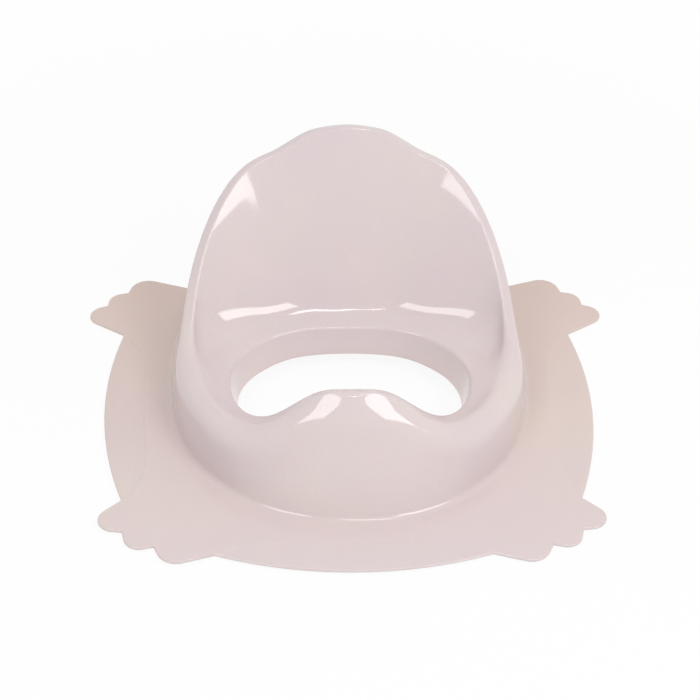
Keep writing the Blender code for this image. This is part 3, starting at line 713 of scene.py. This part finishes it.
def seenByEye(tree, path):
    # the highest of three flags: 1 for the camera's, reflected and refracted rays, 0 for light on its way
    mirrored = maths(tree, "MAXIMUM", path.outputs["Is Glossy Ray"], path.outputs["Is Transmission Ray"])
    return maths(tree, "MAXIMUM", path.outputs["Is Camera Ray"], mirrored)


def makeFloor():
    # the camera and reflections see a share of white glow, floorGlow near the object and 1 beyond glowTo
    # metres, and for the rest the lit floor with the shadow; scattered and shadow rays pass through it, and
    # from below all rays do
    corner = stage["floorSize"] / 2
    floor = meshObject("floor", np.array([(-corner, -corner, 0), (corner, -corner, 0), (corner, corner, 0),
                                          (-corner, corner, 0)]), [[0, 1, 2, 3]], None)
    material = bpy.data.materials.new("paleFloor")
    material.use_nodes = True
    tree = material.node_tree
    tree.nodes.clear()
    out = tree.nodes.new("ShaderNodeOutputMaterial")
    matt = tree.nodes.new("ShaderNodeBsdfDiffuse")
    matt.inputs["Color"].default_value = stage["floor"]
    glow = tree.nodes.new("ShaderNodeEmission")
    path = tree.nodes.new("ShaderNodeLightPath")
    away = tree.nodes.new("ShaderNodeVectorMath")
    away.operation = "LENGTH"
    tree.links.new(tree.nodes.new("ShaderNodeTexCoord").outputs["Object"], away.inputs[0])
    far = tree.nodes.new("ShaderNodeMapRange")
    far.interpolation_type = "SMOOTHSTEP"
    for label, value in (("From Min", stage["glowFrom"]), ("From Max", stage["glowTo"]),
                         ("To Min", stage["floorGlow"]), ("To Max", 1.0)):
        far.inputs[label].default_value = value
    tree.links.new(away.outputs["Value"], far.inputs["Value"])
    share = maths(tree, "MULTIPLY", seenByEye(tree, path), far.outputs["Result"])
    blend = tree.nodes.new("ShaderNodeMixShader")
    tree.links.new(share, blend.inputs[0])
    tree.links.new(matt.outputs[0], blend.inputs[1])
    tree.links.new(glow.outputs[0], blend.inputs[2])
    clear = tree.nodes.new("ShaderNodeBsdfTransparent")
    oneSided = tree.nodes.new("ShaderNodeMixShader")
    back = tree.nodes.new("ShaderNodeNewGeometry").outputs["Backfacing"]
    lit = maths(tree, "MAXIMUM", path.outputs["Is Diffuse Ray"], path.outputs["Is Shadow Ray"])
    tree.links.new(maths(tree, "MAXIMUM", back, lit), oneSided.inputs[0])
    tree.links.new(blend.outputs[0], oneSided.inputs[1])
    tree.links.new(clear.outputs[0], oneSided.inputs[2])
    tree.links.new(oneSided.outputs[0], out.inputs["Surface"])
    floor.data.materials.append(material)


def makeWorld():
    # an even light, stronger from below as over a white table and a little from the right and the back;
    # the camera and reflections see it as plain white
    world = bpy.data.worlds.new("studio")
    world.use_nodes = True
    tree = world.node_tree
    sky = tree.nodes["Background"]
    sky.inputs["Color"].default_value = (1, 1, 1, 1)
    path = tree.nodes.new("ShaderNodeLightPath")
    direction = tree.nodes.new("ShaderNodeSeparateXYZ")
    tree.links.new(tree.nodes.new("ShaderNodeTexCoord").outputs["Generated"], direction.inputs[0])
    below = maths(tree, "LESS_THAN", direction.outputs["Z"], 0.0)
    across = maths(tree, "MULTIPLY_ADD", direction.outputs["X"], stage["worldLean"][0], stage["world"])
    level = maths(tree, "MULTIPLY_ADD", direction.outputs["Y"], stage["worldLean"][1], across)
    light = maths(tree, "MULTIPLY_ADD", below, stage["worldBelow"] - stage["world"], level)
    strength = maths(tree, "MULTIPLY_ADD", seenByEye(tree, path), maths(tree, "SUBTRACT", 1.0, light), light)
    tree.links.new(strength, sky.inputs["Strength"])
    bpy.context.scene.world = world


softboxes = {  # azimuth counts from the front towards +X, and roll turns a box about its own middle
    "left": {"azimuth": -41, "elevation": 51.5, "roll": 0, "distance": 1.5, "size": (0.58, 0.45),
             "brightness": 4.3},
    "right": {"azimuth": 47.5, "elevation": 50, "roll": 0, "distance": 1.5, "size": (0.66, 0.50),
              "brightness": 5.3},
    "over": {"azimuth": 22.4, "elevation": 73.9, "roll": -58.6, "distance": 1.56, "size": (0.14, 0.60),
             "brightness": 7.5},
}
softboxesLookAt = Vector((0, 0, 0.05))


def makeSoftboxes():
    # each stands at distance (sin az cos el, -cos az cos el, sin el) from what it looks at, and its power is
    # brightness times pi times area
    for name, box in softboxes.items():
        azimuth, elevation = math.radians(box["azimuth"]), math.radians(box["elevation"])
        away = Vector((math.sin(azimuth) * math.cos(elevation), -math.cos(azimuth) * math.cos(elevation),
                       math.sin(elevation)))
        lamp = bpy.data.lights.new(name + "Softbox", "AREA")
        lamp.shape, lamp.size, lamp.size_y = "RECTANGLE", box["size"][0], box["size"][1]
        lamp.energy = box["brightness"] * math.pi * box["size"][0] * box["size"][1]
        thing = bpy.data.objects.new(name + "Softbox", lamp)
        thing.location = softboxesLookAt + away * box["distance"]
        turned = away.to_track_quat("Z", "Y").to_matrix() @ Matrix.Rotation(math.radians(box["roll"]), 3, "Z")
        thing.rotation_euler = turned.to_euler()
        bpy.context.scene.collection.objects.link(thing)


photoView = {"azimuth": -2.05165, "elevation": 39.0, "roll": 1.10978, "distance": 1.396635,
             "target": (0.0021627, 0.06815, 0.0042), "focalPixels": 1800, "picturePixels": 700,
             "sensor": 36.0}


def makeCamera():
    # back = from the target to the camera; right and up are then rolled about it
    v = photoView
    azimuth, elevation, roll = (math.radians(v[key]) for key in ("azimuth", "elevation", "roll"))
    back = Vector((math.sin(azimuth) * math.cos(elevation), -math.cos(azimuth) * math.cos(elevation),
                   math.sin(elevation)))
    right = Vector((0, 0, 1)).cross(back).normalized()
    up = back.cross(right)
    rolledRight = right * math.cos(roll) + up * math.sin(roll)
    rolledUp = up * math.cos(roll) - right * math.sin(roll)
    camera = bpy.data.objects.new("photoCamera", bpy.data.cameras.new("photoCamera"))
    camera.data.lens = v["focalPixels"] / v["picturePixels"] * v["sensor"]
    camera.data.sensor_width = v["sensor"]
    camera.matrix_world = Matrix.Translation(Vector(v["target"]) + back * v["distance"]) @ Matrix(
        (rolledRight, rolledUp, back)).transposed().to_4x4()
    bpy.context.scene.collection.objects.link(camera)
    bpy.context.scene.camera = camera


makeFloor()
makeWorld()
makeSoftboxes()
makeCamera()
bpy.context.scene.view_settings.view_transform = "Standard"
print("stage, lights and camera made")
